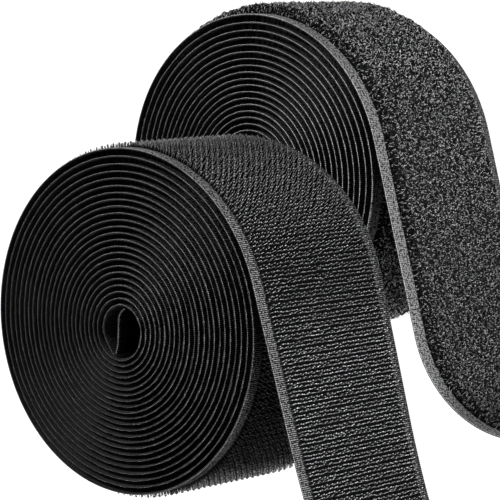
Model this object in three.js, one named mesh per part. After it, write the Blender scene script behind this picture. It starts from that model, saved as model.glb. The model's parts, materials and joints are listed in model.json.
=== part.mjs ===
// A set of two coreless rolls of hook and loop tape, in millimetres, +Z up.
// The loop roll lies flat and the hook roll lies on it, off to one side. Each roll is one unbroken tape,
// wound clockwise and outwards as seen from above, with its hook or loop face outside. The free ends stand
// on edge.
import * as THREE from 'three';

// The tape
const TAPE_WIDTH = 50;
const BACKING = 0.45; // thickness of the woven ground
const HOOK_HEIGHT = 0.8; // hooks stand this far off the ground, pressed between two turns
const HOOK_FREE_HEIGHT = 1.3; // or this far where nothing presses on them
const LOOP_HEIGHT = 0.9; // the loop pile, pressed between two turns
const LOOP_FREE_HEIGHT = 2; // and free
const HOOK_SELVEDGE = 3.6; // bare edge on each side of the hooks
const LOOP_SELVEDGE = 3.0;
const FACE_GAP = 0.1; // between the ground and the field it carries
const TURN_AIR = 0.2; // between one turn's face and the back of the next turn
const SEAT_GAP = 0.3; // between pieces that lie or meet end to end

// The hooks stand in rows along the tape
const HOOK_ROW_PITCH = 2.03;
const HOOK_ROW_FOOT = 1.3; // width of a row where it stands in the weave
const HOOK_ROW_CROWN = 0.9; // and across its hooks' tops
const HOOK_WEAVE = 0.2; // thickness of the weave that joins the rows

// The hook roll, placed by its axis
const HOOK_TURNS = 23;
const HOOK_EYE_RADIUS = 6.6;
const HOOK_SLACK = 1.6; // extra radius that the loose outer turns gain
const HOOK_EYE_X = -1.2; // the inner turns lie off the roll's axis
const HOOK_EYE_Y = -2.0;
const HOOK_TAKE_OFF = 73; // degrees clockwise from +Y where the tail leaves
const HOOK_ROLL_X = 1; // from the loop roll's axis
const HOOK_ROLL_Y = -34.3;

// The hook tape's inner end: wound tighter, then folded back across the eye
const INNER_PART_TURN = 0.4;
const INNER_PITCH = 3.5;
const FOLD_RADIUS = 0.9;
const FOLD_ANGLE = 106;
const FLAP_LENGTH = 9.4;

// The loop roll, on the set's own axis
const LOOP_TURNS = 18;
const LOOP_EYE_RADIUS = 10.6;
const LOOP_SLACK = 1.6;
const LOOP_EYE_X = -0.7;
const LOOP_EYE_Y = -0.7;
const LOOP_TAKE_OFF = 75;

// The free ends: straight off the roll, then round a bend away from it
const HOOK_TAIL_STRAIGHT = 38;
const HOOK_TAIL_BEND_RADIUS = 260;
const HOOK_TAIL_BEND = 6; // degrees
const HOOK_TAIL_LEAN = 3; // the lower edge hangs in by this at the end
const LOOP_TAIL_STRAIGHT = 50.5;
const LOOP_TAIL_BEND_RADIUS = 31.2;
const LOOP_TAIL_BEND = 76;

// How finely the shapes are cut
const STEPS_PER_TURN = 24;
const SLACK_POWER = 5; // only the outer turns are slack
const FOLD_STEPS = 6;
const FLAP_STEPS = 5;
const STRAIGHT_STEPS = 5;
const BEND_STEPS = 8;
const NEIGHBOUR_LENGTH = 8; // tape this close along its length is no other turn
const TINY_TURN = 1e-4; // for the direction of a winding at a point

const HOOK_PITCH = BACKING + FACE_GAP + HOOK_HEIGHT + TURN_AIR;
const LOOP_PITCH = BACKING + FACE_GAP + LOOP_HEIGHT + TURN_AIR;
const HOOK_ROLL_Z = TAPE_WIDTH + SEAT_GAP;

const rad = THREE.MathUtils.degToRad;

// Draws a route seen from above, from a point and a heading in radians from +X.
class Pen {
  constructor(point, heading) {
    this.point = point.clone();
    this.heading = heading;
    this.points = [];
  }

  forward(length, steps) {
    const step = length / steps;
    for (let i = 0; i < steps; i += 1) {
      this.point = this.point.clone();
      this.point.x += step * Math.cos(this.heading);
      this.point.y += step * Math.sin(this.heading);
      this.points.push(this.point);
    }
    return this;
  }

  // Turns left by the angle in degrees. Each chord ends on the arc.
  arc(radius, angle, steps) {
    const turn = rad(angle) / steps;
    const chord = 2 * radius * Math.sin(turn / 2);
    for (let i = 0; i < steps; i += 1) {
      this.heading += turn / 2;
      this.forward(chord, 1);
      this.heading += turn / 2;
    }
    return this;
  }
}

// A point of a winding. Whole turns end at +Y.
function windingPoint(roll, turn) {
  const share = THREE.MathUtils.clamp(turn / roll.turns, 0, 1);
  const pitch = turn < 0 ? INNER_PITCH : roll.pitch;
  const radius = roll.eyeRadius + pitch * turn + roll.slack * share ** SLACK_POWER;
  const angle = 2 * Math.PI * turn;
  return new THREE.Vector2(
    roll.eyeX * (1 - share) + radius * Math.sin(angle),
    roll.eyeY * (1 - share) + radius * Math.cos(angle),
  );
}

function headingBetween(from, to) {
  return Math.atan2(to.y - from.y, to.x - from.x);
}

// The way the tape runs, outwards, at a point of a winding.
function windingHeading(roll, turn) {
  return headingBetween(windingPoint(roll, turn), windingPoint(roll, turn + TINY_TURN));
}

function lastTurn(roll) {
  return roll.turns + roll.takeOff / 360;
}

function firstStep(roll) {
  return -Math.round(roll.innerPart * STEPS_PER_TURN);
}

// The wound part of a tape, from its inner end out to where the tail leaves.
function windingRoute(roll) {
  const last = lastTurn(roll);
  const route = [];
  for (let step = firstStep(roll); step / STEPS_PER_TURN < last; step += 1) {
    route.push(windingPoint(roll, step / STEPS_PER_TURN));
  }
  route.push(windingPoint(roll, last));
  return route;
}

// The folded inner end, drawn inwards from the first point of the winding.
function foldedEnd(roll) {
  const start = firstStep(roll) / STEPS_PER_TURN;
  const pen = new Pen(windingPoint(roll, start), windingHeading(roll, start) + Math.PI);
  pen.arc(FOLD_RADIUS, FOLD_ANGLE, FOLD_STEPS).forward(FLAP_LENGTH, FLAP_STEPS);
  return pen.points.reverse();
}

function tailRoute(roll, straight, bendRadius, bend) {
  const last = lastTurn(roll);
  const pen = new Pen(windingPoint(roll, last), windingHeading(roll, last));
  pen.forward(SEAT_GAP, 1).forward(straight, STRAIGHT_STEPS).arc(bendRadius, bend, BEND_STEPS);
  return pen.points;
}

// The left-hand normal at each point, lengthened at corners so that offset faces stay parallel.
function sideNormals(route) {
  const left = [];
  for (let i = 0; i + 1 < route.length; i += 1) {
    const heading = headingBetween(route[i], route[i + 1]);
    left.push(new THREE.Vector2(-Math.sin(heading), Math.cos(heading)));
  }
  return route.map((_, i) => {
    const before = left[Math.max(i - 1, 0)];
    const after = left[Math.min(i, left.length - 1)];
    return before.clone().add(after).divideScalar(1 + before.dot(after));
  });
}

// The section of a plain strip standing on edge, as points of (side, height). The sides are measured from
// the route to its left, the outside of the winding.
function plainSection(near, far, bottom, top) {
  return [[near, bottom], [far, bottom], [far, top], [near, top]];
}

// The section of the hook field: the weave that joins the rows, and each row of hooks as a ridge on it.
function hookSection(near, far, bottom, top) {
  const weave = near + HOOK_WEAVE;
  const rows = Math.floor((top - bottom) / HOOK_ROW_PITCH);
  const firstRow = (bottom + top - (rows - 1) * HOOK_ROW_PITCH) / 2;
  const section = [[near, bottom], [weave, bottom]];
  for (let row = 0; row < rows; row += 1) {
    const middle = firstRow + row * HOOK_ROW_PITCH;
    section.push(
      [weave, middle - HOOK_ROW_FOOT / 2],
      [far, middle - HOOK_ROW_CROWN / 2],
      [far, middle + HOOK_ROW_CROWN / 2],
      [weave, middle + HOOK_ROW_FOOT / 2],
    );
  }
  section.push([weave, top], [near, top]);
  return section;
}

// A closed strip with one section all along its route. A lean draws its lower edge in, steadily along it.
function strip(route, section, lean = 0) {
  const normals = sideNormals(route);
  const positions = [];
  route.forEach((point, i) => {
    const share = i / (route.length - 1);
    for (const [side, z] of section) {
      const out = side - lean * share * (1 - z / TAPE_WIDTH);
      positions.push(point.x + out * normals[i].x, point.y + out * normals[i].y, z);
    }
  });
  const corners = section.length;
  const index = [];
  for (let i = 0; i + 1 < route.length; i += 1) {
    for (let k = 0; k < corners; k += 1) {
      const low = corners * i + k;
      const high = corners * i + ((k + 1) % corners);
      index.push(high, high + corners, low + corners, high, low + corners, low);
    }
  }
  const end = corners * (route.length - 1);
  const outline = section.map(([side, z]) => new THREE.Vector2(side, z));
  for (const [a, b, c] of THREE.ShapeUtils.triangulateShape(outline, [])) {
    index.push(c, b, a);
    index.push(end + a, end + b, end + c);
  }
  const geometry = new THREE.BufferGeometry();
  geometry.setAttribute('position', new THREE.Float32BufferAttribute(positions, 3));
  geometry.setIndex(index);
  geometry.computeVertexNormals();
  return geometry;
}

// The least clear distance between two stretches of one winding that aren't neighbours along the tape.
function leastGap(route, thickness) {
  const along = [0];
  for (let i = 1; i < route.length; i += 1) {
    along.push(along[i - 1] + route[i].distanceTo(route[i - 1]));
  }
  const edge = new THREE.Line3();
  const probe = new THREE.Vector3();
  const nearest = new THREE.Vector3();
  let least = Infinity;
  route.forEach((point, i) => {
    probe.set(point.x, point.y, 0);
    for (let j = 0; j + 1 < route.length; j += 1) {
      const apart = Math.min(Math.abs(along[j] - along[i]), Math.abs(along[j + 1] - along[i]));
      if (apart < NEIGHBOUR_LENGTH) continue;
      edge.start.set(route[j].x, route[j].y, 0);
      edge.end.set(route[j + 1].x, route[j + 1].y, 0);
      edge.closestPointToPoint(probe, true, nearest);
      least = Math.min(least, nearest.distanceTo(probe));
    }
  });
  return { gap: least - thickness, length: along.at(-1) };
}

const groundFinish = new THREE.MeshStandardMaterial({ color: 0x1c1c1e, roughness: 0.75, metalness: 0 });
const hookFinish = new THREE.MeshStandardMaterial({ color: 0x121214, roughness: 0.55, metalness: 0 });
const loopFinish = new THREE.MeshStandardMaterial({ color: 0x161618, roughness: 0.95, metalness: 0 });

function piece(name, geometry, material) {
  const mesh = new THREE.Mesh(geometry, material);
  mesh.name = name;
  return mesh;
}

// One tape as four pieces: the ground and its field, each as the coil and as the free tail. The field shows
// on the outer turn alone, from the step past the line where the tail leaves it.
function tapeRoll(name, roll, coil, tail) {
  const half = BACKING / 2;
  const fieldNear = half + FACE_GAP;
  const fieldFar = fieldNear + roll.freeHeight;
  const ground = plainSection(-half, half, 0, TAPE_WIDTH);
  const field = roll.fieldSection(fieldNear, fieldFar, roll.selvedge, TAPE_WIDTH - roll.selvedge);
  const outerTurn = coil.slice(-STEPS_PER_TURN);
  const group = new THREE.Group();
  group.add(
    piece(`${name}_backing_coil`, strip(coil, ground), groundFinish),
    piece(`${name}_${roll.field}_coil`, strip(outerTurn, field), roll.finish),
    piece(`${name}_backing_tail`, strip(tail, ground, roll.tailLean), groundFinish),
    piece(`${name}_${roll.field}_tail`, strip(tail, field, roll.tailLean), roll.finish),
  );
  const winding = leastGap(coil, BACKING);
  console.log(`${name} winding: least gap to itself ${winding.gap.toFixed(2)} mm, wound length`,
    `${(winding.length / 1000).toFixed(2)} m`);
  return group;
}

const hook = {
  turns: HOOK_TURNS,
  eyeRadius: HOOK_EYE_RADIUS,
  pitch: HOOK_PITCH,
  slack: HOOK_SLACK,
  eyeX: HOOK_EYE_X,
  eyeY: HOOK_EYE_Y,
  takeOff: HOOK_TAKE_OFF,
  innerPart: INNER_PART_TURN,
  field: 'field',
  fieldSection: hookSection,
  freeHeight: HOOK_FREE_HEIGHT,
  selvedge: HOOK_SELVEDGE,
  tailLean: HOOK_TAIL_LEAN,
  finish: hookFinish,
};
const loop = {
  turns: LOOP_TURNS,
  eyeRadius: LOOP_EYE_RADIUS,
  pitch: LOOP_PITCH,
  slack: LOOP_SLACK,
  eyeX: LOOP_EYE_X,
  eyeY: LOOP_EYE_Y,
  takeOff: LOOP_TAKE_OFF,
  innerPart: 0,
  field: 'pile',
  fieldSection: plainSection,
  freeHeight: LOOP_FREE_HEIGHT,
  selvedge: LOOP_SELVEDGE,
  tailLean: 0,
  finish: loopFinish,
};

const hookWinding = windingRoute(hook);
const hookCoil = [...foldedEnd(hook), ...hookWinding];
const hookTail = tailRoute(hook, HOOK_TAIL_STRAIGHT, HOOK_TAIL_BEND_RADIUS, HOOK_TAIL_BEND);
const hookRoll = tapeRoll('hook', hook, hookCoil, hookTail);
hookRoll.position.set(HOOK_ROLL_X, HOOK_ROLL_Y, HOOK_ROLL_Z);

const loopCoil = windingRoute(loop);
const loopTail = tailRoute(loop, LOOP_TAIL_STRAIGHT, LOOP_TAIL_BEND_RADIUS, LOOP_TAIL_BEND);
const loopRoll = tapeRoll('loop', loop, loopCoil, loopTail);

// The set stands on z = 0, with its origin under the middle of its box.
const set = new THREE.Group();
set.add(loopRoll, hookRoll);
const box = new THREE.Box3().setFromObject(set);
const middle = box.getCenter(new THREE.Vector3());
set.position.set(-middle.x, -middle.y, -box.min.z);

export default set;
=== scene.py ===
import json
import math
from dataclasses import dataclass

import bpy
import numpy as np
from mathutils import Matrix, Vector

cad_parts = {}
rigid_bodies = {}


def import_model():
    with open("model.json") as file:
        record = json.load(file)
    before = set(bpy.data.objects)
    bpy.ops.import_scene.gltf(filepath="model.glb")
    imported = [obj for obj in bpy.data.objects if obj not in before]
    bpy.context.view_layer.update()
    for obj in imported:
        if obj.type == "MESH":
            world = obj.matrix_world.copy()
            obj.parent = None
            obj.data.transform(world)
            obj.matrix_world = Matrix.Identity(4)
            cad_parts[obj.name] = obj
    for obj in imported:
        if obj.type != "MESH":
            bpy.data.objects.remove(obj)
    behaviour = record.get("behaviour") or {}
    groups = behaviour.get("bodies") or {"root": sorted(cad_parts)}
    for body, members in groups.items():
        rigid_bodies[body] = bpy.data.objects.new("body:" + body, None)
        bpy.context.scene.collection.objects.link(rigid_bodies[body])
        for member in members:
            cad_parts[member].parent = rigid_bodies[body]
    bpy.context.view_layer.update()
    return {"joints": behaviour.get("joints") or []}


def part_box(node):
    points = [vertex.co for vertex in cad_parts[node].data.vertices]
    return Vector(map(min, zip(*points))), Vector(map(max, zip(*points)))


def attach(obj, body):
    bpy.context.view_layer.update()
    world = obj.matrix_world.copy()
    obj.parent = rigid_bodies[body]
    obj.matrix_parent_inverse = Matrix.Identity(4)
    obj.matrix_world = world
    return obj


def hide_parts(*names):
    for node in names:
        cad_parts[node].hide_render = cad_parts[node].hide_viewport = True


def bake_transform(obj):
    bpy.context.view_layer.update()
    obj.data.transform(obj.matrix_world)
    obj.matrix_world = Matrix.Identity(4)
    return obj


for item in list(bpy.data.objects):
    bpy.data.objects.remove(item)
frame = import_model()

MM = 0.001

# The tapes, in millimetres and degrees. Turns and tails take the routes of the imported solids, and the folded
# inner end is nearer to the photograph than theirs.
TAPE_WIDTH = 50.0
BACKING = 0.45  # thickness of the woven ground
FACE_GAP = 0.1  # in the solids, between the ground and its hooks or pile
SEAT_GAP = 0.3  # in the solids, between the roll and its tail
SLACK_POWER = 5  # of the slack's growth from the eye to the outside
INNER_PITCH = 3.5  # of the part of a turn inside the first
INNER_STRAIGHT = 3.6  # from the winding to the fold
FOLD_RADIUS = 0.7
FOLD_ANGLE = 119.0
FLAP_BENDS = ((2.5, 23.0), (6.0, 0.0), (3.7, -65.0))  # length and turn of each stretch past the fold
PEEL_LENGTH = 25.0  # a length past the line where the tail leaves the roll, at which peel_bend finds a point that it does not use

# How finely the ribbons are cut
COIL_STEPS = 96  # to a turn
FINE_TURNS = 1.05  # on the outside, cut finer
RIB = 0.5  # one weft thread to the next, along the tape
FINE_STEP = RIB / 4
FOLD_STEP = 0.12
TINY_TURN = 1e-4
EDGE_BEND = (45, 90, 135)  # degrees round the ground's edge at which it has points

# Small unevenness of the winding
STRAY = 0.05
STRAY_WAVES = ((0.37, 1.3, 1.0), (1.61, 0.4, 0.8), (2.73, 2.2, 0.6))  # per turn, phase, share
SAG_MOST = 0.06  # a turn's upper edge lies this much low at most
SAG_RATES = (0.021, 0.0083)  # radians to a millimetre of tape
SAG_PHASE = 1.1
RIB_HEIGHT = 0.045
RIB_COVERED = 0.4  # share of that between the selvedges

# The layer of hooks or pile between the turns
LAYER_GAP = 0.08  # to the next turn
LAYER_BEVEL = 0.25
LAYER_FOOT = 0.03  # from the ground to its lower face

# The hooks
HOOK_ROW = 0.98  # along the tape
HOOK_COLUMN = 2.1  # across it
HOOK_OVER = 0.5  # the next row lies over by this share of a column
HOOK_RADIUS = 0.24
HOOK_LEG = 1.0
HOOK_ROOT = 0.05  # depth of a leg's end in the ground
HOOK_WIRE = 0.1  # radius of the wire
HOOK_SIDES = 4
HOOK_ARC = 195.0
HOOK_ARC_STEPS = 7
HOOK_SLANT = 10.0  # the arches lie this far off square across the tape
HOOK_STUB = 0.86  # height of what is left of the cut leg, as a share of the hook's
HOOK_STUB_ASIDE = 1.05  # from the middle of the arch
HOOK_LOW_ROW = 0.92  # every second row has this share of the height
HOOK_MARGIN = 2.3  # the columns keep at least this far from the tape's edges
HOOK_START = 8.0  # degrees past the line where the tail leaves
HOOK_TAIL_SHADOW_STOP = 34.0  # up to here the hooks take tones painted for the tail's shadow on them
HOOK_STOP = 0.5  # from the last hooks to the tail's end
HOOK_STRAY_ALONG = 0.04  # spread of the hooks' places, slants, leans and sizes
HOOK_STRAY_ACROSS = 0.06
HOOK_STRAY_SLANT = 7.0
HOOK_STRAY_LEAN = 0.04
HOOK_STRAY_SIZE = 0.04

# The loop pile
PILE_GRID = 0.35
PILE_INSIDE = 1.001  # keeps a place inside the grid's last cell
PILE_HEIGHT = 2.3
PILE_BASE = 0.05  # from the ground to where its height starts
PILE_FOOT = 0.02  # from the ground to the foot of its edge
PILE_CURL = 0.6  # size of the curls
PILE_DEPTH = 0.18
PILE_LUMP = 6.0  # size of the lumps, in curls
PILE_LUMP_DEPTH = 0.3  # as a share of the curls' depth
PILE_INSET = 1.2  # from the selvedge to the first loops
PILE_EDGE = 2.4  # the pile comes up over this width from its edge
PILE_EDGE_LOW = 0.1  # share of the height that it has there
PILE_EDGE_POWER = 0.8
PILE_START = 14.0  # degrees past the line where the tail leaves
PILE_RISE = 6.0  # over this length the pile comes up at its start
PILE_RISE_LOW = 0.3
PILE_TIP = 0.8  # over this length it goes down at the tail's end
PILE_TIP_POWER = 0.5
STRANDS = 60000
STRAND_LENGTH = 0.7
STRAND_SPREAD = (0.6, 1.3)  # least and most, as shares of that
STRAND_BOW = 0.35  # spread of the bows, as a share of the length
STRAND_LIFT = 0.3
STRAND_LIFT_GAMMA = (3.0, 0.4)  # most strands lie low and a few stand out
STRAND_LIFT_POWER = 0.7
STRAND_SUNK = 0.2  # how deep their ends are in the pile
STRAND_STRAY = 0.03
STRAND_WIRE = 0.06  # radius of the yarn
STRAND_SIDES = 3
STRAND_POINTS = 3
STRAND_FIRST = 1.0  # from the pile's start to the first strands
STRAND_STOP = 0.3  # from the last ones to the tail's end
STRAND_PAST_END = 0.5  # how far a strand may reach past its piece's ends
STRAND_PAST_EDGE = 0.4  # and past the pile's edges
STRAND_PIECES = 5
TAIL_STRAND_PIECES = 2

# The finishes, lengths in millimetres, tones as linear greys or shares of them
TINT = 1.02  # a little more blue than red and green
WARP = 0.62  # one warp thread to the next, across the tape
WARP_SHARE = 0.3  # of the warp in the face's threads, beside the weft
WAVE = (-1.0, 1.0)  # what a sine covers
NOISE = (0.3, 0.7)  # what nearly all of a noise covers
GRAIN = 1.7  # scale of the unevenness of threads, to a millimetre
GRAIN_SPAN = (0.38, 0.62)
FACE_DARK = 0.003
FACE_GRAIN = (0.1, 1.7)
FACE_THREADS = (-0.2, 0.8)
FACE_ROUGH = (0.75, 0.6)
FACE_RELIEF = 0.00006  # metres
BARE_END = np.array([-0.5, 0.3])  # the pale selvedge ends over this, about its width
INNER_END = np.array([-3.0, -2.0])  # the painted shade between the turns inside ends over this, about the outer turn's start
INNER_TONE = 0.45
TAIL_SHADOW_END = np.array([15.0, 45.0])  # the painted shadow of the tail on the turn below ends over this, past the outer turn's start
TAIL_SHADOW_TONE = 0.8
LOWER_END = (10.0, 40.0)  # across this span the lower selvedge's tone turns into the upper one's
LOWER_TONE = 0.4
VERY_EDGE = (0.0, 0.06)  # the tone comes up over this, in from the edge
VERY_EDGE_TONE = 0.25
RIM_OUTER = (0.04, 0.06)  # the rim's painted highlight comes up over this, in from the edge
RIM_OUTER_TONE = 0.1
RIM_INNER = (0.08, 0.11)  # and ends over this
RIM_BEADS = (0.2, 1.0)
RIM_GRAIN = (0.7, 1.0)
BACK_DARK = 0.008
BACK_GRAIN = (0.2, 1.4)
BACK_EDGE = (0.1, 1.0)  # its tone comes up over this, in from the edge
BACK_EDGE_TONE = 0.2
BACK_BORDER = (2.0, 6.0)  # and goes down over this where it is wound up, a painted shade between the turns
BACK_ROUGH = (0.75, 0.55)
BACK_GLOSS = 0.1
BACK_RELIEF = 0.00005  # metres
THREAD_RELIEF = 0.8  # strength of both weaves' relief
FREE_HOOKS = (0.14, 0.65)  # tones of a leg and of a top with its painted highlight, on the free tail
# darker on the roll than on the free tail: painted shade
ROLLED_HOOKS = (0.1, 0.42)
# set for the tail's shadow over them: paler legs as painted light, a duller painted highlight on the tops
TAIL_SHADOW_HOOKS = (0.22, 0.34)
HOOK_TOPS = (0.8, 1.0)  # shares of the height over which a hook's top takes its painted highlight
HOOK_SPOTS = 0.9  # scale of the change from hook to hook, of the painted highlight and of the roughness
HOOK_SPOT_SPAN = (0.35, 0.65)
HOOK_SPOT_TONES = (0.15, 1.0)
HOOK_ROUGH = (0.15, 0.3)
YARN = 1.4  # scale of the yarn's tones
YARN_SPAN = (0.4, 0.62)
YARN_ROUGH = (0.6, 0.45)
YARN_RELIEF = 0.0002  # metres
YARN_RELIEF_STRENGTH = 0.6
PRESSED_YARN = (0.01, 0.09)  # low and high tones
# near-black, darker than the yarn itself: painted shade deep in the pile under the loose strands
MAT_YARN = (0.002, 0.008)
LOOSE_YARN = (0.004, 0.5)
YARN_FADE = 45.0  # over this length of the tail it grows darker

# The view, in millimetres and degrees
CAMERA_LENS = 201.6
CAMERA_SENSOR = 36.0
CAMERA_FROM_LOOP_AXIS = (473.29, 57.09, 609.84)
CAMERA_TURN = (-5.993, 40.211, 0.0)

# The studio, in metres and watts
FLOOR_SIZE = 12.0
FLOOR_DROP = 0.0001
FLOOR_PALE = 0.8
FLOOR_GLOW = 0.94
FLOOR_SHADE = 0.3
AMBIENT = 0.05
LAMP_AIM = (0.0, 0.0, 0.05)
LAMPS = {  # place, side of the square and power
    "right": ((1.1, 0.6, 0.09), 0.22, 9.0),
    "low_right": ((1.1, -0.4, 0.09), 0.22, 30.0),
    "top": ((-0.4, 0.85, 0.9), 0.35, 11.5),
    "left": ((-0.8, 0.3, 0.8), 0.35, 1.0),
    "low_left": ((-1.1, -0.1, 0.09), 0.3, 14.0),
    "low_front": ((0.1, -1.15, 0.09), 0.3, 14.0),
    "low_back": ((-0.5, 1.05, 0.09), 0.3, 7.0),
}

SEED = 20
rng = np.random.default_rng(SEED)


@dataclass
class Roll:
    """One tape, lengths in millimetres, angles in degrees clockwise from +Y."""

    name: str
    turns: float  # up to the last one that ends at +Y
    eye_radius: float
    pitch: float  # one turn to the next
    slack: float  # how much further out the last turn lies
    eye: tuple  # middle of the innermost turn, from the roll's axis
    take_off: float  # where the tail leaves
    inner_part: float  # part of a turn that is wound inside the first
    selvedge: float  # bare width along each edge
    field_height: float  # of the hooks or pile in the solids
    tail_straight: float
    bend_radius: float  # of the tail's end
    bend: float
    lean: float  # the lower corner of the tail's end lies this far inwards

    @property
    def last(self):
        return self.turns + self.take_off / 360


HOOK = Roll(
    name="hook", turns=23, eye_radius=6.6, pitch=1.55, slack=1.6, eye=(-1.2, -2.0), take_off=73,
    inner_part=0.33, selvedge=3.6, field_height=1.3, tail_straight=38, bend_radius=260, bend=6, lean=3,
)
LOOP = Roll(
    name="loop", turns=18, eye_radius=10.6, pitch=1.65, slack=1.6, eye=(-0.7, -0.7), take_off=75,
    inner_part=0, selvedge=3.0, field_height=2.0, tail_straight=50.5, bend_radius=31.2, bend=76, lean=0,
)


def unit(vectors):
    return vectors / np.linalg.norm(vectors, axis=-1, keepdims=True)


def left_of(headings):
    return np.stack([-headings[..., 1], headings[..., 0]], axis=-1)


def winding(roll, turn):
    """Points of the winding about the roll's axis. Whole turns end at +Y."""
    turn = np.asarray(turn, float)
    share = np.clip(turn / roll.turns, 0, 1)
    waves = sum(size * np.sin(2 * np.pi * rate * turn + phase) for rate, phase, size in STRAY_WAVES)
    stray = STRAY * 4 * share * (1 - share) * waves
    pitch = np.where(turn < 0, INNER_PITCH, roll.pitch)
    radius = roll.eye_radius + pitch * turn + roll.slack * share**SLACK_POWER + stray
    angle = 2 * np.pi * turn
    spoke = np.stack([np.sin(angle), np.cos(angle)], axis=-1)
    return (1 - share)[..., None] * np.array(roll.eye) + radius[..., None] * spoke


def winding_heading(roll, turn):
    here, ahead = winding(roll, [turn, turn + TINY_TURN])
    return math.atan2(*(ahead - here)[::-1])


def drawn(start, headings, step):
    """A line from start that follows the headings, one for each step."""
    steps = step * np.stack([np.cos(headings), np.sin(headings)], axis=-1)
    return start + np.cumsum(steps, axis=0)


def folded_end(roll):
    """The inner end, folded back across the eye, from its tip to the winding."""
    heading = winding_heading(roll, -roll.inner_part) + math.pi
    fold = (FOLD_RADIUS * math.radians(FOLD_ANGLE), FOLD_ANGLE)
    bends = np.cumsum([(0.0, 0.0), (INNER_STRAIGHT, 0.0), fold, *FLAP_BENDS], axis=0)
    arc = np.arange(FOLD_STEP / 2, bends[-1, 0], FOLD_STEP)
    headings = heading + np.radians(np.interp(arc, bends[:, 0], bends[:, 1]))
    return drawn(winding(roll, [-roll.inner_part])[0], headings, FOLD_STEP)[::-1]


def tail(roll):
    """The free end, from just past the line where it leaves the roll."""
    straight = SEAT_GAP + roll.tail_straight
    length = straight + roll.bend_radius * math.radians(roll.bend)
    middles = np.arange(FINE_STEP / 2, length, FINE_STEP)
    headings = winding_heading(roll, roll.last) + np.maximum(middles - straight, 0) / roll.bend_radius
    return drawn(winding(roll, [roll.last])[0], headings, FINE_STEP)


class Tape:
    """A whole tape laid along its route. A place on it is its distance along the tape from the inner end, its
    height off the middle of the ground to the outside, and its distance up from the lower edge."""

    def __init__(self, roll):
        self.roll = roll
        turn_length = 2 * np.pi * np.linalg.norm(winding(roll, [roll.last])[0])
        outer = roll.last - FINE_TURNS
        coarse = np.arange(-roll.inner_part, outer, 1 / COIL_STEPS)
        fine = np.linspace(outer, roll.last, int(FINE_TURNS * turn_length / FINE_STEP))
        wound = winding(roll, np.r_[coarse, fine])
        inner = folded_end(roll) if roll.inner_part else np.zeros((0, 2))
        coil = np.concatenate([inner, wound])
        points = np.concatenate([coil, tail(roll)])
        end = len(coil) - 1
        self.along = np.r_[0, np.cumsum(np.linalg.norm(np.diff(points, axis=0), axis=1))]
        self.take_off = self.along[end]
        self.length = self.along[-1]
        self.winding_start = self.along[len(inner)]
        self.turn_of = np.r_[np.full(len(inner), -roll.inner_part), coarse, fine]
        self.coil_along = self.along[: len(coil)]
        self.normals = left_of(unit(np.gradient(points, axis=0)))
        hinge = next(j for j in frame["joints"] if j["name"] == f"{roll.name}_tail_peel")
        heading = winding_heading(roll, roll.last)
        seat = points[end] + self.normals[end] * (BACKING / 2 + FACE_GAP + roll.field_height)
        seat = seat + SEAT_GAP / 2 * np.array([math.cos(heading), math.sin(heading)])
        self.axis = np.array(hinge["pos_m"][:2]) / MM - seat
        self.points = points + self.axis
        self.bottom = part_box(f"{roll.name}_backing_coil")[0].z / MM

    def along_at(self, turn):
        """The distance along the tape at a turn of the winding."""
        return np.interp(turn, self.turn_of, self.coil_along)

    def under_tail(self, angle):
        """The distance along the tape at an angle past the line where the tail leaves, a turn below it."""
        return self.along_at(self.roll.last - 1 + angle / 360)

    def tail_along(self):
        """The distances along the tape at which the tail's route is given."""
        return self.along[self.along >= self.take_off]

    def place(self, along, height, across):
        along, height, across = np.broadcast_arrays(along, height, across)
        point = [np.interp(along, self.along, self.points[:, k]) for k in (0, 1)]
        normal = [np.interp(along, self.along, self.normals[:, k]) for k in (0, 1)]
        share = np.clip((along - self.take_off) / (self.length - self.take_off), 0, 1)
        out = height - self.roll.lean * share * (1 - across / TAPE_WIDTH)
        x, y = (point[k] + out * normal[k] for k in (0, 1))
        return np.stack([x, y, self.bottom + across], axis=-1)


def make_piece(name, points, walls, caps, materials, uv, backs=None):
    """A mesh object from points in millimetres, its smooth four-sided walls and its flat end caps. The walls
    marked as backs take the second material."""
    a, b, c, d = np.moveaxis(points[walls], 1, 0)
    volume = np.sum(a * np.cross(b, c)) + np.sum(a * np.cross(c, d))
    faces = [walls, caps] if volume >= 0 else [walls[:, ::-1], caps[:, ::-1]]
    corners = np.concatenate([face.ravel() for face in faces]).astype(np.int32)
    totals = np.concatenate([np.full(len(face), face.shape[1]) for face in faces])
    smooth = np.arange(len(totals)) < len(walls)
    starts = np.r_[0, np.cumsum(totals)[:-1]].astype(np.int32)
    mesh = bpy.data.meshes.new(name)
    mesh.vertices.add(len(points))
    mesh.vertices.foreach_set("co", (points * MM).astype(np.float32).ravel())
    mesh.loops.add(len(corners))
    mesh.loops.foreach_set("vertex_index", corners)
    mesh.polygons.add(len(totals))
    mesh.polygons.foreach_set("loop_start", starts)
    mesh.polygons.foreach_set("use_smooth", smooth)
    mesh.update(calc_edges=True)
    layer = mesh.uv_layers.new(name="tape")
    layer.data.foreach_set("uv", uv[corners].astype(np.float32).ravel())
    for material in materials:
        mesh.materials.append(material)
    if backs is not None:
        slots = np.zeros(len(totals), np.int32)
        slots[: len(backs)] = backs
        mesh.polygons.foreach_set("material_index", slots)
    piece = bpy.data.objects.new(name, mesh)
    bpy.context.scene.collection.objects.link(piece)
    return piece


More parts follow.
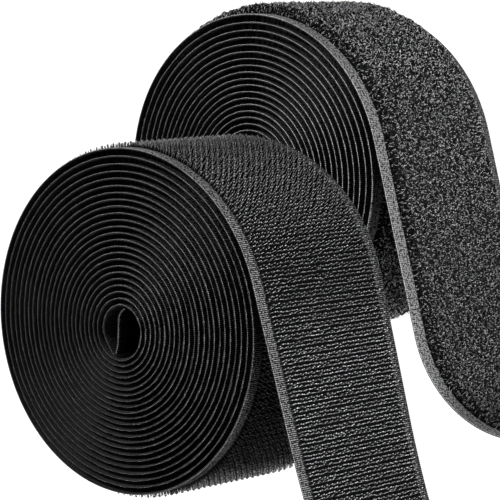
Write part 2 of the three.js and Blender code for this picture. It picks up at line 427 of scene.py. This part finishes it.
def swept(name, tape, stations, heights, across, materials, backs=None, sag=0.0):
    """A closed strip along the tape: at each station a row of heights, at the same places across the tape. It
    lies lower by the sag."""
    count, size = heights.shape
    along = np.repeat(stations[:, None], size, axis=1)
    across = np.ones((count, 1)) * across
    points = tape.place(along, heights, across - sag).reshape(-1, 3)
    uv = np.stack([along, across], axis=-1).reshape(-1, 2)
    station, k = np.meshgrid(np.arange(count - 1), np.arange(size), indexing="ij")
    a = station * size + k
    b = station * size + (k + 1) % size
    walls = np.stack([a, a + size, b + size, b], axis=-1).reshape(-1, 4)
    ring = np.arange(size)
    caps = np.stack([ring, ((count - 1) * size + ring)[::-1]])
    if backs is not None:
        backs = np.tile(backs, count - 1)
    return make_piece(name, points, walls, caps, materials, uv, backs)


def ground(name, tape, stations, front, back):
    """The woven ground: a thin ribbon with rounded edges, its weft ribs strongest on the bare selvedges."""
    half = BACKING / 2
    inset = tape.roll.selvedge
    lower = np.array([half, inset / 2, inset])
    face = np.r_[lower, TAPE_WIDTH - lower[::-1]]
    flat = np.full(len(face), half)
    bend = np.radians(EDGE_BEND)
    over = half - half * np.sin(bend)
    height = np.r_[flat, half * np.cos(bend), -flat, -half * np.cos(bend)]
    across = np.r_[face, TAPE_WIDTH - over, face[::-1], over]
    point = np.arange(len(across))
    backs = (point > len(face)) & (point <= 2 * len(face) + len(bend))
    selvedge = np.minimum(across, TAPE_WIDTH - across) <= inset / 2
    rib = np.cos(2 * np.pi * stations / RIB)[:, None]
    heights = height + RIB_HEIGHT * rib * np.where(selvedge, 1.0, RIB_COVERED) * np.sign(height)
    waves = np.sin(stations * SAG_RATES[0]) * np.sin(stations * SAG_RATES[1] + SAG_PHASE)
    sag = SAG_MOST * (0.5 + 0.5 * waves)
    scallop = RIB_HEIGHT * (1 - rib) * (np.abs(height) < half)
    upper = across > TAPE_WIDTH / 2
    sag = upper * (sag[:, None] + scallop)
    return swept(name, tape, stations, heights, across, [front, back], backs, sag)


def inner_field(name, tape, angle, material):
    """The hooks or pressed pile between the turns, as a plain layer: only its edges can be seen, deep down.
    It reaches the next turn, as far as it is high enough, and goes on to an angle under the tail."""
    roll = tape.roll
    stop = tape.under_tail(angle)
    stations = tape.coil_along[(tape.coil_along > tape.winding_start) & (tape.coil_along < stop)]
    turn = np.interp(stations, tape.coil_along, tape.turn_of)
    room = np.linalg.norm(winding(roll, turn + 1) - winding(roll, turn), axis=1) - BACKING
    high = (BACKING / 2 + np.minimum(room - LAYER_GAP, roll.field_height))[:, None]
    low = np.full_like(high, BACKING / 2 + LAYER_FOOT)
    heights = np.concatenate([low, high - LAYER_BEVEL, high, high, high - LAYER_BEVEL, low], axis=1)
    side = np.array([0.0, 0.0, LAYER_BEVEL]) + roll.selvedge
    return swept(name, tape, stations, heights, np.r_[side, TAPE_WIDTH - side[::-1]], [material])


def tubes(name, paths, upright, wire, sides, material, uv):
    """Many round tubes in one mesh. paths is (tubes, points, 3), upright a direction for each tube's section
    and uv a place for each point of each path."""
    count, size, _ = paths.shape
    run = unit(np.gradient(paths, axis=1))
    one = unit(np.cross(run, upright[:, None, :]))
    two = np.cross(one, run)
    turn = 2 * np.pi * np.arange(sides) / sides
    ring = one[:, :, None] * np.cos(turn)[:, None] + two[:, :, None] * np.sin(turn)[:, None]
    points = (paths[:, :, None] + wire * ring).reshape(-1, 3)
    tube, step, side = np.meshgrid(np.arange(count), np.arange(size - 1), np.arange(sides), indexing="ij")
    base = (tube * size + step) * sides
    a = base + side
    b = base + (side + 1) % sides
    walls = np.stack([a, a + sides, b + sides, b], axis=-1).reshape(-1, 4)
    first = (np.arange(count) * size * sides)[:, None] + np.arange(sides)
    caps = np.concatenate([first, (first + (size - 1) * sides)[:, ::-1]])
    return make_piece(name, points, walls, caps, [material], np.repeat(uv.reshape(-1, 2), sides, axis=0))


def hooks(name, tape, start, stop, material):
    """The hooks on a stretch of tape: arches across it, row by row, each with the stub of its cut leg."""
    rows = np.arange(math.ceil(start / HOOK_ROW), math.ceil(stop / HOOK_ROW))
    columns = np.arange(int((TAPE_WIDTH - 2 * HOOK_MARGIN) / HOOK_COLUMN))
    aside = (TAPE_WIDTH - len(columns) * HOOK_COLUMN) / 2
    row, column = (grid.ravel() for grid in np.meshgrid(rows, columns, indexing="ij"))
    count = len(row)
    odd = row % 2
    way = np.where(odd, -1.0, 1.0)
    along = row * HOOK_ROW + rng.normal(0, HOOK_STRAY_ALONG, count)
    across = aside + (column + HOOK_OVER / 2 + HOOK_OVER * odd) * HOOK_COLUMN
    across = across + rng.normal(0, HOOK_STRAY_ACROSS, count)
    slant = np.radians(HOOK_SLANT + rng.normal(0, HOOK_STRAY_SLANT, count))
    lean = rng.normal(0, HOOK_STRAY_LEAN, count)
    size = np.where(odd, HOOK_LOW_ROW, 1.0) + rng.normal(0, HOOK_STRAY_SIZE, count)
    arc = np.radians(np.linspace(0, HOOK_ARC, HOOK_ARC_STEPS))
    arch_reach = np.r_[0, 0, HOOK_RADIUS * (1 - np.cos(arc))] - HOOK_RADIUS
    arch_rise = np.r_[-HOOK_ROOT, HOOK_LEG / 2, HOOK_LEG + HOOK_RADIUS * np.sin(arc)]
    stub_reach = np.full(2, HOOK_STUB_ASIDE)
    stub_rise = np.array([-HOOK_ROOT, HOOK_STUB * (HOOK_LEG + HOOK_RADIUS)])

    def laid(reach, rise):
        """A path for each hook, from its reach aside and its rise at each point."""
        spread = way[:, None] * size[:, None] * reach
        on_along = along[:, None] + spread * np.sin(slant)[:, None] + lean[:, None] * rise
        on_across = across[:, None] + spread * np.cos(slant)[:, None]
        return tape.place(on_along, BACKING / 2 + size[:, None] * rise, on_across)

    def marks(rise):
        """For the finish, each hook's own number and the height on it as a share."""
        own = HOOK_COLUMN * np.arange(count)[:, None]
        return np.stack(np.broadcast_arrays(own, rise / rise.max()), axis=-1)

    arches = laid(arch_reach, arch_rise)
    side = unit(np.cross(arches[:, -1] - arches[:, 0], arches[:, 1] - arches[:, 0]))
    whole = tubes(name, arches, side, HOOK_WIRE, HOOK_SIDES, material, marks(arch_rise))
    stubs = laid(stub_reach, stub_rise)
    rest = tubes(f"{name}_legs", stubs, side, HOOK_WIRE, HOOK_SIDES, material, marks(stub_rise))
    join_into(whole, rest)
    return whole


def join_into(target, extra):
    with bpy.context.temp_override(active_object=target, selected_editable_objects=[target, extra]):
        bpy.ops.object.join()


class Pile:
    """The free loop pile of a tape, as a height for each place on the outer turn and the tail."""

    def __init__(self, tape):
        self.tape = tape
        self.inset = inset = tape.roll.selvedge + PILE_INSET
        self.start = tape.under_tail(PILE_START)
        self.seam = tape.take_off
        before = round((self.seam - self.start) / PILE_GRID)
        after = round((tape.length - self.seam) / PILE_GRID)
        self.stations = np.r_[
            np.linspace(self.start, self.seam, before + 1)[:-1],
            np.linspace(self.seam, tape.length, after + 1),
        ]
        self.seam_at = before
        self.levels = np.linspace(inset, TAPE_WIDTH - inset, round((TAPE_WIDTH - 2 * inset) / PILE_GRID))
        shape = (len(self.stations), len(self.levels))
        curls = blurred(rng.standard_normal(shape), PILE_CURL / PILE_GRID / 2)
        lumps = blurred(rng.standard_normal(shape), PILE_LUMP * PILE_CURL / PILE_GRID / 2)
        edge = np.minimum(self.levels - inset, TAPE_WIDTH - inset - self.levels)
        rounded = np.sin(np.pi / 2 * np.clip(edge / PILE_EDGE, 0, 1)) ** PILE_EDGE_POWER
        rounding = PILE_EDGE_LOW + (1 - PILE_EDGE_LOW) * rounded
        rise = np.clip((self.stations - self.start) / PILE_RISE, PILE_RISE_LOW, 1)
        tip = np.clip((tape.length - self.stations) / PILE_TIP, 0, 1) ** PILE_TIP_POWER
        full = PILE_HEIGHT + PILE_DEPTH * curls + PILE_LUMP_DEPTH * PILE_DEPTH * lumps
        self.heights = BACKING / 2 + PILE_BASE + full * rounding * (rise * tip)[:, None]

    def height_at(self, along, across):
        """The pile's height at places on it, between the grid's points."""
        i = grid_place(along, self.stations)
        k = grid_place(across, self.levels)
        low_i = i.astype(int)
        low_k = k.astype(int)
        past_i = i - low_i
        past_k = k - low_k
        near, far = (
            self.heights[at, low_k] * (1 - past_k) + self.heights[at, low_k + 1] * past_k
            for at in (low_i, low_i + 1)
        )
        return near * (1 - past_i) + far * past_i

    def mat(self, name, first, last, material):
        stations = self.stations[first:last]
        foot = np.full((len(stations), 1), BACKING / 2 + PILE_FOOT)
        across = np.r_[self.levels[0], self.levels, self.levels[-1]]
        heights = np.concatenate([foot, self.heights[first:last], foot], axis=1)
        return swept(name, self.tape, stations, heights, across, [material])

    def strands(self, name, start, stop, material):
        """Loose loops of the pile on a stretch of tape. They lie on it every way, a few standing out."""
        inset = self.inset
        wide = TAPE_WIDTH - 2 * inset
        wanted = int(STRANDS * (stop - start) / (self.tape.length - self.start))
        steps = max(1, round(math.sqrt(wanted * (stop - start) / wide)))
        rows = wanted // steps
        grid = np.meshgrid(np.arange(steps), np.arange(rows), indexing="ij")
        step, level = (values.ravel() + rng.uniform(0, 1, values.size) for values in grid)
        along = start + step * (stop - start) / steps
        across = inset + level * wide / rows
        count = along.size
        way = rng.uniform(0, 2 * np.pi, count)
        length = STRAND_LENGTH * rng.uniform(*STRAND_SPREAD, count)
        curl = rng.normal(0, STRAND_BOW, count)
        lift = STRAND_LIFT * rng.gamma(*STRAND_LIFT_GAMMA, count)
        share = np.linspace(0, 1, STRAND_POINTS)
        run = length[:, None] * (share - 0.5)
        bow = (curl * length)[:, None] * np.sin(np.pi * share) ** 2
        on_along = along[:, None] + run * np.cos(way)[:, None] - bow * np.sin(way)[:, None]
        on_across = across[:, None] + run * np.sin(way)[:, None] + bow * np.cos(way)[:, None]
        on_along = np.clip(on_along, start - STRAND_PAST_END, min(stop + STRAND_PAST_END, self.tape.length))
        on_across = np.clip(on_across, inset - STRAND_PAST_EDGE, TAPE_WIDTH - inset + STRAND_PAST_EDGE)
        arch = lift[:, None] * np.sin(np.pi * share) ** STRAND_LIFT_POWER
        height = self.height_at(on_along, on_across) - STRAND_SUNK + arch
        paths = self.tape.place(on_along, height, on_across)
        paths += rng.normal(0, STRAND_STRAY, paths.shape)
        upright = unit(self.tape.place(along, 1.0, across) - self.tape.place(along, 0.0, across))
        uv = np.stack([on_along, on_across], axis=-1)
        return tubes(name, paths, upright, STRAND_WIRE, STRAND_SIDES, material, uv)


def grid_place(values, grid):
    """Where values lie on a grid, as whole steps and a part of one."""
    return np.clip(np.interp(values, grid, np.arange(len(grid))), 0, len(grid) - PILE_INSIDE)


def blurred(values, reach):
    """The values smoothed over a reach in grid steps, with a spread of one."""
    waves = [np.fft.fftfreq(n) for n in values.shape]
    fall = np.exp(-2 * (np.pi * reach) ** 2 * (waves[0][:, None] ** 2 + waves[1] ** 2))
    smooth = np.fft.ifft2(np.fft.fft2(values) * fall).real
    return smooth / smooth.std()


class Finish:
    """A node material, with short ways to add nodes to it."""

    def __init__(self, name):
        self.material = bpy.data.materials.new(name)
        self.material.use_nodes = True
        self.tree = self.material.node_tree
        self.surface = self.tree.nodes["Principled BSDF"]

    def node(self, kind, inputs=(), **settings):
        made = self.tree.nodes.new(kind)
        for key, value in settings.items():
            setattr(made, key, value)
        for key, value in dict(inputs).items():
            self.feed(made.inputs[key], value)
        return made

    def feed(self, socket, value):
        if isinstance(value, bpy.types.NodeSocket):
            self.tree.links.new(value, socket)
        else:
            socket.default_value = value

    def look(self, colour, roughness, gloss):
        self.feed(self.surface.inputs["Base Color"], colour)
        self.feed(self.surface.inputs["Roughness"], roughness)
        self.surface.inputs["Specular IOR Level"].default_value = gloss

    def math(self, operation, *values):
        return self.node("ShaderNodeMath", enumerate(values), operation=operation).outputs[0]

    def times(self, one, two):
        return self.math("MULTIPLY", one, two)

    def wave(self, value, length):
        return self.math("SINE", self.times(value, 2 * math.pi / length))

    def ramp(self, value, span, ends=(0.0, 1.0)):
        inputs = {
            "Value": value,
            "From Min": span[0], "From Max": span[1],
            "To Min": ends[0], "To Max": ends[1],
        }
        return self.node("ShaderNodeMapRange", inputs, interpolation_type="SMOOTHSTEP").outputs["Result"]

    def mix(self, share, one, two):
        made = self.node("ShaderNodeMix", data_type="RGBA")
        # Inputs 6 and 7 and output 2 are the node's sockets for colours
        for socket, value in ((made.inputs[0], share), (made.inputs[6], one), (made.inputs[7], two)):
            self.feed(socket, value)
        return made.outputs[2]

    def noise(self, scale, detail, where):
        inputs = {"Scale": scale, "Detail": detail, "Vector": where}
        return self.node("ShaderNodeTexNoise", inputs).outputs["Fac"]

    def places(self):
        """The two places of the uv layer, and the vector of both."""
        vector = self.node("ShaderNodeUVMap", uv_map="tape").outputs["UV"]
        parts = self.node("ShaderNodeSeparateXYZ", {"Vector": vector}).outputs
        return parts["X"], parts["Y"], vector

    def cloth(self):
        """Of a woven ground: places along it, across it and in from its nearer edge, the waves of weft and
        warp, and the grain of the threads."""
        along, across, vector = self.places()
        edge = self.math("MINIMUM", across, self.math("SUBTRACT", TAPE_WIDTH, across))
        weft = self.wave(along, RIB)
        warp = self.wave(across, WARP)
        grain = self.noise(GRAIN, detail=1.0, where=vector)
        return along, across, edge, weft, warp, grain

    def bump(self, height, distance, strength):
        inputs = {"Height": height, "Distance": distance, "Strength": strength}
        self.feed(self.surface.inputs["Normal"], self.node("ShaderNodeBump", inputs).outputs["Normal"])


def grey(value, tint=TINT):
    return (value, value, value * tint, 1.0)


def woven_finish(name, tape, bare_width, pale, rib_low, rim_highlight):
    """The face of black woven nylon: ribs of weft, paler on the selvedge, with a painted highlight along its
    rim.
    The turns inside the outer one are darker with a painted shade between the turns, and the stretch under the
    tail with a painted shadow of the tail."""
    finish = Finish(name)
    along, across, edge, weft, warp, grain = finish.cloth()
    thread = finish.math("MULTIPLY_ADD", warp, WARP_SHARE, weft)
    ribs = finish.ramp(thread, FACE_THREADS, (rib_low, 1.0))
    tone = finish.times(ribs, finish.ramp(grain, GRAIN_SPAN, FACE_GRAIN))
    bare = finish.ramp(edge, bare_width + BARE_END, (1.0, 0.0))
    outside = tape.under_tail(0.0)
    # Painted shade between the turns: the turns inside the outer one are darker
    inside = finish.ramp(along, outside + INNER_END, (INNER_TONE, 1.0))
    # Painted shadow of the tail on the turn below it
    tail_shadow = finish.ramp(along, outside + TAIL_SHADOW_END, (TAIL_SHADOW_TONE, 1.0))
    painted_shade = finish.math("MINIMUM", inside, tail_shadow)
    upper = finish.ramp(across, LOWER_END, (LOWER_TONE, 1.0))
    side = finish.times(upper, finish.ramp(edge, VERY_EDGE, (VERY_EDGE_TONE, 1.0)))
    selvedge_and_shade = finish.times(bare, finish.times(painted_shade, side))
    plain = finish.mix(finish.times(tone, selvedge_and_shade), grey(FACE_DARK), grey(pale))
    # A painted highlight along the rim of each edge, beaded along the weft ribs and the grain
    bead = finish.times(finish.ramp(weft, WAVE, RIM_BEADS), finish.ramp(grain, NOISE, RIM_GRAIN))
    corner = finish.ramp(edge, RIM_OUTER, (RIM_OUTER_TONE, 1.0))
    corner = finish.times(corner, finish.ramp(edge, RIM_INNER, (1.0, 0.0)))
    colour = finish.mix(finish.times(corner, bead), plain, grey(rim_highlight, 1.0))
    finish.look(colour, finish.ramp(thread, WAVE, FACE_ROUGH), 0.0)
    finish.bump(thread, FACE_RELIEF, THREAD_RELIEF)
    return finish.material


def back_finish(name, pale, deep):
    """The back of the ground: flat black weave, its threads a little paler. Away from its edges a painted
    shade between the turns leaves only a share of that tone: little where it is wound up, all of it on a free
    end."""
    finish = Finish(name)
    _, _, edge, weft, warp, grain = finish.cloth()
    thread = finish.math("MULTIPLY_ADD", finish.times(weft, warp), 0.5, 0.5)
    border = finish.ramp(edge, BACK_EDGE, (BACK_EDGE_TONE, 1.0))
    # Deeper in, the tone falls to the given share: a painted shade between the wound turns
    border = finish.times(border, finish.ramp(edge, BACK_BORDER, (1.0, deep)))
    tone = finish.times(thread, finish.ramp(grain, GRAIN_SPAN, BACK_GRAIN))
    colour = finish.mix(finish.times(tone, border), grey(BACK_DARK), grey(pale))
    finish.look(colour, finish.ramp(grain, NOISE, BACK_ROUGH), BACK_GLOSS)
    finish.bump(thread, BACK_RELIEF, THREAD_RELIEF)
    return finish.material


def hook_finish(name, tones, gloss, painted_shading, count=1):
    """Black nylon wire, smooth, its tops paler with a painted highlight, more so on one hook than on the next.
    A hook's place in the finish is a number of its own and the height on it as a share. The share of the tones
    that
    shows can change along a count of hooks: painted shade and light that differ from place to place on the
    roll."""
    finish = Finish(name)
    number, height, vector = finish.places()
    spots = finish.noise(HOOK_SPOTS, detail=1.0, where=vector)
    # Painted highlight on the hooks' tops
    top_highlight = finish.times(finish.ramp(height, HOOK_TOPS), finish.ramp(spots, HOOK_SPOT_SPAN, HOOK_SPOT_TONES))
    leg, top = tones
    colour = finish.mix(top_highlight, grey(leg), grey(top))
    # Painted shade and light along the count of hooks: it changes around the roll and down the tail
    colour = finish.mix(finish.ramp(number, (0.0, HOOK_COLUMN * count), painted_shading), grey(0.0), colour)
    finish.look(colour, finish.ramp(spots, NOISE, HOOK_ROUGH), gloss)
    return finish.material


def pile_finish(name, tones, gloss=0.0, fade=1.0, fade_from=0.0):
    """Black brushed nylon yarn, tone changing from one curl to the next. It can fade to a share of its tone
    over some length of tape."""
    finish = Finish(name)
    along, _, vector = finish.places()
    curls = finish.noise(YARN, detail=2.0, where=vector)
    low, high = tones
    colour = finish.mix(finish.ramp(curls, YARN_SPAN), grey(low), grey(high))
    faded = finish.ramp(along, (fade_from, fade_from + YARN_FADE), (1.0, fade))
    colour = finish.mix(faded, grey(0.0), colour)
    finish.look(colour, finish.ramp(curls, NOISE, YARN_ROUGH), gloss)
    finish.bump(curls, YARN_RELIEF, YARN_RELIEF_STRENGTH)
    return finish.material


def stretches(start, stop, count):
    """The number, start and stop of each of some equal pieces of a stretch of tape."""
    cuts = np.linspace(start, stop, count + 1)
    return zip(range(1, count + 1), cuts[:-1], cuts[1:])


def peel_bend(tape, piece):
    """Bakes the piece's transform into its mesh. It finds the tail's middle where it leaves the roll and
    PEEL_LENGTH further on, but does not use them.
    """
    start = tape.place(tape.take_off, 0.0, TAPE_WIDTH / 2) * MM
    end = tape.place(tape.take_off + PEEL_LENGTH, 0.0, TAPE_WIDTH / 2) * MM
    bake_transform(piece)


def settle(piece, slot, body, *nodes):
    if body:
        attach(piece, body)
    if nodes:
        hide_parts(*nodes)


hook_tape = Tape(HOOK)
loop_tape = Tape(LOOP)
hook_ground = woven_finish("hook_ground", hook_tape, bare_width=3.4, pale=0.155, rib_low=0.06, rim_highlight=0.66)
loop_ground = woven_finish("loop_ground", loop_tape, bare_width=4.2, pale=0.165, rib_low=0.4, rim_highlight=1.0)
coil_back = back_finish("coil_back", pale=0.07, deep=0.15)
loop_back = back_finish("loop_back", pale=0.13, deep=0.2)
tail_back = back_finish("tail_back", pale=0.055, deep=1.0)
# Lit and shaded copies of one hook finish: tones and painted shading set by where they lie, darkest at the
# roll's bottom, palest on the free tail
hook_nylon = hook_finish("hook_nylon", FREE_HOOKS, gloss=0.4, painted_shading=(1.0, 0.85), count=700)
hook_leading = hook_finish("hook_leading", FREE_HOOKS, gloss=0.4, painted_shading=(0.6, 1.0), count=450)
hook_falling = hook_finish("hook_falling", ROLLED_HOOKS, gloss=0.15, painted_shading=(0.6, 0.15), count=1250)
hook_returning = hook_finish("hook_returning", ROLLED_HOOKS, gloss=0.15, painted_shading=(0.15, 0.4), count=1250)
hook_rolled = hook_finish("hook_rolled", ROLLED_HOOKS, gloss=0.4, painted_shading=(0.4, 0.4))
hook_rising = hook_finish("hook_rising", ROLLED_HOOKS, gloss=0.4, painted_shading=(0.4, 0.85), count=1400)
# The hooks in the tail's shadow: tones painted to show there, fading darker along them
hook_unworn = hook_finish("hook_unworn", TAIL_SHADOW_HOOKS, gloss=0.3, painted_shading=(1.0, 0.35), count=540)
hook_layer = pile_finish("hook_layer", PRESSED_YARN)
pile_layer = pile_finish("pile_layer", PRESSED_YARN)
pile_mat = pile_finish("pile_mat", MAT_YARN)
pile_yarn = pile_finish("pile_yarn", LOOSE_YARN, gloss=0.2, fade=0.75, fade_from=loop_tape.take_off)

hook_coil = ground("hook_tape_coil", hook_tape, hook_tape.coil_along, hook_ground, coil_back)
settle(hook_coil, "ground", "hook_roll", "hook_backing_coil")
hook_inner = inner_field("hook_inner_turns", hook_tape, HOOK_START, hook_layer)
settle(hook_inner, "hooks", "hook_roll")
tail_shadow_stop = hook_tape.under_tail(HOOK_TAIL_SHADOW_STOP)
piece = hooks("hooks_under_tail", hook_tape, hook_tape.under_tail(HOOK_START), tail_shadow_stop, hook_unworn)
settle(piece, "hooks", "hook_roll", "hook_field_coil")
around = (hook_falling, hook_returning, hook_rolled, hook_rising)
for number, start, stop in stretches(tail_shadow_stop, hook_tape.take_off, len(around)):
    piece = hooks(f"hooks_outer_turn_{number}", hook_tape, start, stop, around[number - 1])
    settle(piece, "hooks", "hook_roll", "hook_field_coil")

hook_tail = ground("hook_tape_tail", hook_tape, hook_tape.tail_along(), hook_ground, tail_back)
settle(hook_tail, "ground", None, "hook_backing_tail")
peel_bend(hook_tape, hook_tail)
down_the_tail = (hook_leading, hook_nylon)
for number, start, stop in stretches(hook_tape.take_off, hook_tape.length - HOOK_STOP, len(down_the_tail)):
    piece = hooks(f"hooks_tail_{number}", hook_tape, start, stop, down_the_tail[number - 1])
    settle(piece, "hooks", None, "hook_field_tail")
    peel_bend(hook_tape, piece)

loop_coil = ground("loop_tape_coil", loop_tape, loop_tape.coil_along, loop_ground, loop_back)
settle(loop_coil, "ground", "loop_roll", "loop_backing_coil")
loop_inner = inner_field("loop_inner_turns", loop_tape, PILE_START, pile_layer)
settle(loop_inner, "pile", "loop_roll")
pile = Pile(loop_tape)
coil_mat = pile.mat("pile_outer_turn", 0, pile.seam_at + 1, pile_mat)
settle(coil_mat, "pile", "loop_roll", "loop_pile_coil")
for number, start, stop in stretches(pile.start + STRAND_FIRST, pile.seam, STRAND_PIECES):
    piece = pile.strands(f"pile_strands_outer_turn_{number}", start, stop, pile_yarn)
    settle(piece, "pile", "loop_roll")

loop_tail = ground("loop_tape_tail", loop_tape, loop_tape.tail_along(), loop_ground, tail_back)
settle(loop_tail, "ground", None, "loop_backing_tail")
peel_bend(loop_tape, loop_tail)
tail_mat = pile.mat("pile_tail", pile.seam_at, None, pile_mat)
settle(tail_mat, "pile", None, "loop_pile_tail")
peel_bend(loop_tape, tail_mat)
for number, start, stop in stretches(pile.seam, loop_tape.length - STRAND_STOP, TAIL_STRAND_PIECES):
    piece = pile.strands(f"pile_strands_tail_{number}", start, stop, pile_yarn)
    settle(piece, "pile", None)
    peel_bend(loop_tape, piece)


def for_the_eye(tree):
    """One for rays that show a background: those of the camera, of reflections and through glass."""
    rays = tree.nodes.new("ShaderNodeLightPath").outputs
    share = rays["Is Camera Ray"]
    for name in ("Is Glossy Ray", "Is Transmission Ray"):
        either = tree.nodes.new("ShaderNodeMath")
        either.operation = "MAXIMUM"
        tree.links.new(share, either.inputs[0])
        tree.links.new(rays[name], either.inputs[1])
        share = either.outputs[0]
    return share


def floor():
    half = FLOOR_SIZE / 2
    mesh = bpy.data.meshes.new("floor")
    corners = [(x * half, y * half, -FLOOR_DROP) for x, y in ((-1, -1), (1, -1), (1, 1), (-1, 1))]
    mesh.from_pydata(corners, [], [(0, 1, 2, 3)])
    material = bpy.data.materials.new("floor")
    material.use_nodes = True
    tree = material.node_tree
    tree.nodes.clear()
    out = tree.nodes.new("ShaderNodeOutputMaterial")
    mix = tree.nodes.new("ShaderNodeMixShader")
    pale = tree.nodes.new("ShaderNodeBsdfDiffuse")
    pale.inputs["Color"].default_value = grey(FLOOR_PALE, 1.0)
    shade = tree.nodes.new("ShaderNodeBsdfDiffuse")
    shade.inputs["Color"].default_value = grey(FLOOR_SHADE, 1.0)
    glow = tree.nodes.new("ShaderNodeEmission")
    glow.inputs["Strength"].default_value = FLOOR_GLOW
    both = tree.nodes.new("ShaderNodeAddShader")
    tree.links.new(shade.outputs[0], both.inputs[0])
    tree.links.new(glow.outputs[0], both.inputs[1])
    tree.links.new(for_the_eye(tree), mix.inputs[0])
    tree.links.new(pale.outputs[0], mix.inputs[1])
    tree.links.new(both.outputs[0], mix.inputs[2])
    tree.links.new(mix.outputs[0], out.inputs[0])
    mesh.materials.append(material)
    plane = bpy.data.objects.new("floor", mesh)
    bpy.context.scene.collection.objects.link(plane)


def sky():
    world = bpy.data.worlds.new("studio")
    bpy.context.scene.world = world
    world.use_nodes = True
    tree = world.node_tree
    background = tree.nodes["Background"]
    background.inputs["Color"].default_value = grey(1.0, 1.0)
    strength = tree.nodes.new("ShaderNodeMapRange")
    strength.inputs["To Min"].default_value = AMBIENT
    tree.links.new(for_the_eye(tree), strength.inputs["Value"])
    tree.links.new(strength.outputs["Result"], background.inputs["Strength"])


def lamp(name, place, size, power):
    """A square soft lamp, aimed at the middle of the set."""
    light = bpy.data.lights.new(name, "AREA")
    light.size = size
    light.energy = power
    holder = bpy.data.objects.new(name, light)
    holder.location = place
    aim = Vector(LAMP_AIM) - Vector(place)
    holder.rotation_euler = aim.to_track_quat("-Z", "Y").to_euler()
    bpy.context.scene.collection.objects.link(holder)


floor()
sky()
for name, (place, size, power) in LAMPS.items():
    lamp(name, place, size, power)

camera = bpy.data.cameras.new("camera")
camera.lens = CAMERA_LENS
camera.sensor_width = CAMERA_SENSOR
viewer = bpy.data.objects.new("camera", camera)
spot = np.array([*loop_tape.axis, 0.0]) + np.array(CAMERA_FROM_LOOP_AXIS)
viewer.location = tuple(spot * MM)
viewer.rotation_euler = tuple(math.radians(angle) for angle in CAMERA_TURN)
bpy.context.scene.collection.objects.link(viewer)
bpy.context.scene.camera = viewer
bpy.context.scene.view_settings.view_transform = "Standard"
